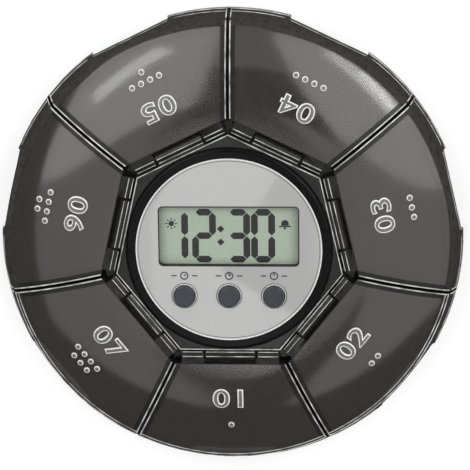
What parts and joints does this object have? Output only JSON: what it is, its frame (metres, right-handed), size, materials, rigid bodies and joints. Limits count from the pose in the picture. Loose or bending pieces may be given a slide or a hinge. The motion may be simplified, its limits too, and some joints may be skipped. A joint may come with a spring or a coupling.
{
  "type": "electronic pill box",
  "caption": "Round pill box: a smoke-grey tray of bins with domed lids hinged round a hub that holds a reminder timer with a display and buttons.",
  "frame": {"origin": "on the hub's axis, at the surface that the tray's foot ring stands on", "axes": "+Z up out of the timer's face; +Y is up on the display, and the first day's lid points to -Y"},
  "size_m": [0.0944, 0.0936, 0.0298],
  "materials": {
    "smoke_tray": "smoke-grey see-through plastic, glossy",
    "smoke_lid": "smoke-grey see-through plastic, glossy",
    "black_case": "black, glossy",
    "silver_face": "fine satin silver",
    "clear_window": "clear, glossy",
    "display_glass": "pale grey-green",
    "strip_rubber": "matte",
    "board_green": "satin solder mask",
    "chip_black": "matte resin",
    "bright_steel": "bright",
    "spring_brass": "plated",
    "button_blue": "dark blue-black, glossy",
    "black_door": "fine matte"
  },
  "bodies": {
    "tray": {"base_tray": "smoke_tray"},
    "lid_1": {"lid_1": "smoke_lid"},
    "lid_2": {"lid_2": "smoke_lid"},
    "lid_3": {"lid_3": "smoke_lid"},
    "lid_4": {"lid_4": "smoke_lid"},
    "lid_5": {"lid_5": "smoke_lid"},
    "lid_6": {"lid_6": "smoke_lid"},
    "lid_7": {"lid_7": "smoke_lid"},
    "timer": {"timer_front": "black_case", "face_plate": "silver_face", "display_window": "clear_window", "display_panel": "display_glass", "contact_strips": "strip_rubber", "circuit_board": "board_green", "chip_cover": "chip_black", "quartz_crystal": "bright_steel", "buzzer": "chip_black", "button_contacts": "spring_brass", "timer_back": "black_case", "coin_cell": "bright_steel", "top_contact": "spring_brass", "side_contact": "spring_brass", "case_screws": "bright_steel"},
    "hour_button": {"hour_button": "button_blue"},
    "mode_button": {"mode_button": "button_blue"},
    "minute_button": {"minute_button": "button_blue"},
    "battery_door": {"battery_door": "black_door"}
  },
  "joints": [
    {"name": "lid_1_hinge", "type": "hinge", "parent": "tray", "child": "lid_1", "pos_m": [0, -0.0225, 0.0266], "axis": [-1, 0, 0], "range_deg": [0, 90]},
    {"name": "lid_2_hinge", "type": "hinge", "parent": "tray", "child": "lid_2", "pos_m": [0.01759, -0.01403, 0.0266], "axis": [0.6235, 0.7818, 0], "range_deg": [-90, 0]},
    {"name": "lid_3_hinge", "type": "hinge", "parent": "tray", "child": "lid_3", "pos_m": [0.02194, 0.00501, 0.0266], "axis": [0.2225, -0.9749, 0], "range_deg": [0, 90]},
    {"name": "lid_4_hinge", "type": "hinge", "parent": "tray", "child": "lid_4", "pos_m": [0.00976, 0.02027, 0.0266], "axis": [-0.901, 0.4339, 0], "range_deg": [-90, 0]},
    {"name": "lid_5_hinge", "type": "hinge", "parent": "tray", "child": "lid_5", "pos_m": [-0.00976, 0.02027, 0.0266], "axis": [0.901, 0.4339, 0], "range_deg": [0, 90]},
    {"name": "lid_6_hinge", "type": "hinge", "parent": "tray", "child": "lid_6", "pos_m": [-0.02194, 0.00501, 0.0266], "axis": [-0.2225, -0.9749, 0], "range_deg": [-90, 0]},
    {"name": "lid_7_hinge", "type": "hinge", "parent": "tray", "child": "lid_7", "pos_m": [-0.01759, -0.01403, 0.0266], "axis": [0.6235, -0.7818, 0], "range_deg": [-90, 0]},
    {"name": "timer_lift", "type": "slide", "parent": "tray", "child": "timer", "axis": [0, 0, 1], "range_m": [0, 0.014]},
    {"name": "hour_button_press", "type": "slide", "parent": "timer", "child": "hour_button", "axis": [0, 0, -1], "range_m": [0, 0.0005], "stiffness_N_per_m": 1000},
    {"name": "mode_button_press", "type": "slide", "parent": "timer", "child": "mode_button", "axis": [0, 0, -1], "range_m": [0, 0.0005], "stiffness_N_per_m": 1000},
    {"name": "minute_button_press", "type": "slide", "parent": "timer", "child": "minute_button", "axis": [0, 0, -1], "range_m": [0, 0.0005], "stiffness_N_per_m": 1000},
    {"name": "battery_door_turn", "type": "hinge", "parent": "timer", "child": "battery_door", "pos_m": [0, -0.001, 0.0167], "axis": [0, 0, 1], "range_deg": [0, 50]}
  ]
}
